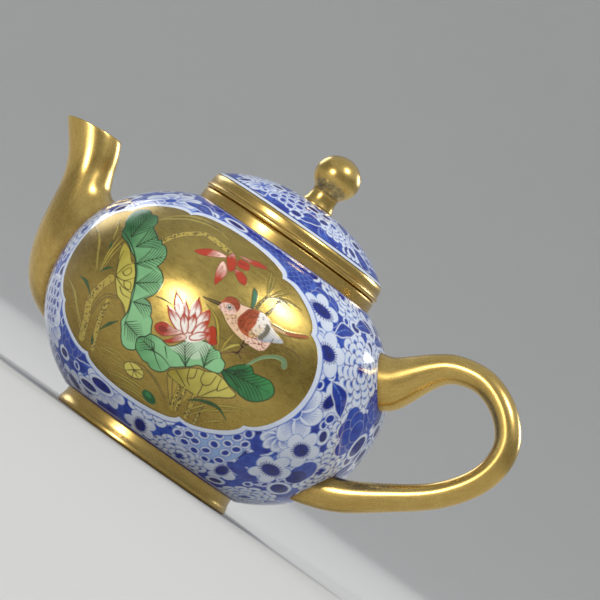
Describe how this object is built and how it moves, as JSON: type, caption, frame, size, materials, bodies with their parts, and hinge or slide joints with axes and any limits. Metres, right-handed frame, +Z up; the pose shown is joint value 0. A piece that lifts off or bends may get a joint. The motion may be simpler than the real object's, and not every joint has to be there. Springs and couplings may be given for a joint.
{
  "type": "porcelain teapot",
  "caption": "Low round porcelain teapot with a rising spout, a loop handle, gilt picture panels and a lift-off domed lid with a ball knob.",
  "frame": {"origin": "centre of the foot ring's bottom plane, on the pot's axis", "axes": "+Z up along the pot's axis, -X towards the spout, +X towards the handle, -Y the front picture panel"},
  "size_m": [0.2011, 0.1246, 0.1233],
  "materials": {
    "cobalt_glaze": "gloss",
    "gilding": "satin gilt",
    "gilt_ground": "satin gilt",
    "bare_porcelain": "matt"
  },
  "bodies": {
    "pot": {"body_lower": "cobalt_glaze", "body_upper": "cobalt_glaze", "foot_ring": "gilding", "mouth_ring": "gilding", "spout": "gilding", "handle": "gilding", "front_panel": "gilt_ground", "back_panel": "gilt_ground"},
    "lid": {"lid_dome": "cobalt_glaze", "lid_rim": "gilding", "lid_flange": "bare_porcelain", "knob": "gilding"}
  },
  "joints": [
    {"name": "lid_lift", "type": "slide", "parent": "pot", "child": "lid", "axis": [0, 0, 1], "range_m": [0, 0.05]}
  ]
}
